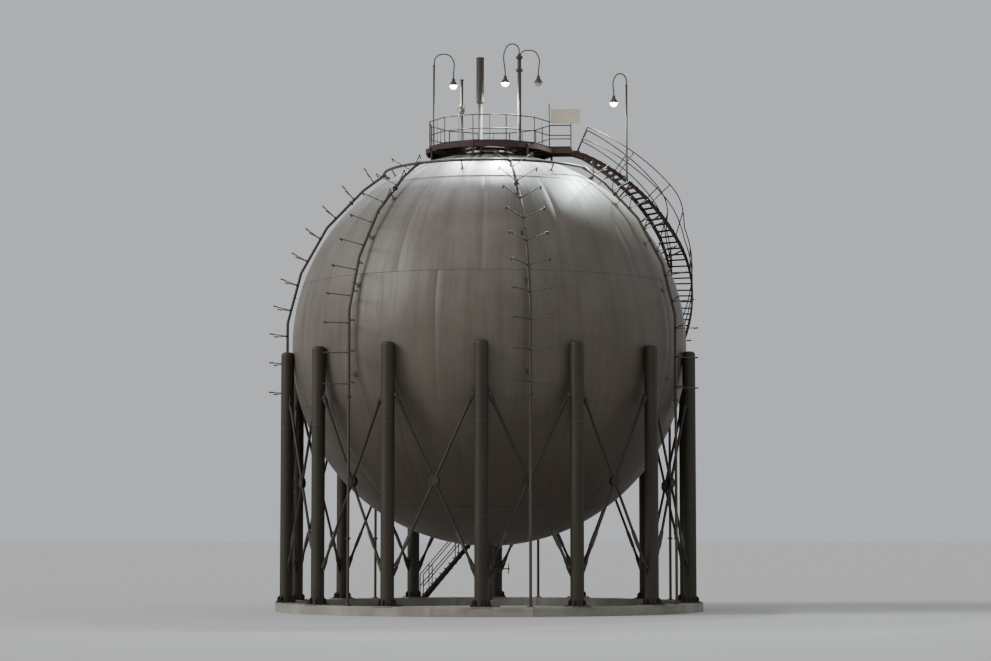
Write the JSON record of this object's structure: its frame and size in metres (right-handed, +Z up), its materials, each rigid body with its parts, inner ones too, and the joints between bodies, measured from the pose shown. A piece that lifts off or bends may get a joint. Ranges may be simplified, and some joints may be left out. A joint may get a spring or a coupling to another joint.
{
  "type": "spherical gas tank",
  "caption": "Spherical gas tank on a ring of pipe columns with crossed braces, a crown platform with lamps, a stair round the shell and drench pipework",
  "frame": {"origin": "on the tank's vertical axis at ground level, under the outlet's plinth", "axes": "+Z up along the tank's axis; one column stands on -Y; the stair leaves the platform towards +X"},
  "size_m": [17.5312, 18.5948, 23.176],
  "materials": {
    "shell_paint": "weathered silver-grey paint with dirt streaks",
    "column_paint": "dark weathered paint",
    "brace_paint": "dark weathered paint",
    "stair_paint": "red-brown paint with rust",
    "pipe_paint": "dull grey-brown paint",
    "lamp_paint": "dull grey paint",
    "panel_paint": "beige paint",
    "concrete": "cast concrete"
  },
  "bodies": {
    "root": {"shell_bottom_cap": "shell_paint", "shell_lower_zone": "shell_paint", "shell_equator_belt": "shell_paint", "shell_upper_zone": "shell_paint", "shell_top_cap": "shell_paint", "foundation_ring": "concrete", "column_01": "column_paint", "brace_01": "brace_paint", "column_02": "column_paint", "brace_02": "brace_paint", "column_03": "column_paint", "brace_03": "brace_paint", "column_04": "column_paint", "brace_04": "brace_paint", "column_05": "column_paint", "brace_05": "brace_paint", "column_06": "column_paint", "brace_06": "brace_paint", "column_07": "column_paint", "brace_07": "brace_paint", "column_08": "column_paint", "brace_08": "brace_paint", "column_09": "column_paint", "brace_09": "brace_paint", "column_10": "column_paint", "brace_10": "brace_paint", "column_11": "column_paint", "brace_11": "brace_paint", "column_12": "column_paint", "brace_12": "brace_paint", "column_13": "column_paint", "brace_13": "brace_paint", "column_14": "column_paint", "brace_14": "brace_paint", "drench_riser_1": "pipe_paint", "drench_riser_2": "pipe_paint", "drench_riser_3": "pipe_paint", "drench_riser_4": "pipe_paint", "drench_riser_5": "pipe_paint", "drench_riser_6": "pipe_paint", "drench_riser_7": "pipe_paint", "drench_header": "pipe_paint", "top_deck": "stair_paint", "deck_railing": "stair_paint", "crown_manway": "pipe_paint", "vent_stack": "pipe_paint", "valve_pipe": "pipe_paint", "rail_panel": "panel_paint", "deck_lamp": "lamp_paint", "stair_lamp": "lamp_paint", "lamp_mast": "lamp_paint", "upper_stair": "stair_paint", "landing_1": "stair_paint", "lower_flight_1": "stair_paint", "landing_2": "stair_paint", "lower_flight_2": "stair_paint", "landing_3": "stair_paint", "lower_flight_3": "stair_paint", "bottom_outlet": "pipe_paint"}
  },
  "joints": []
}
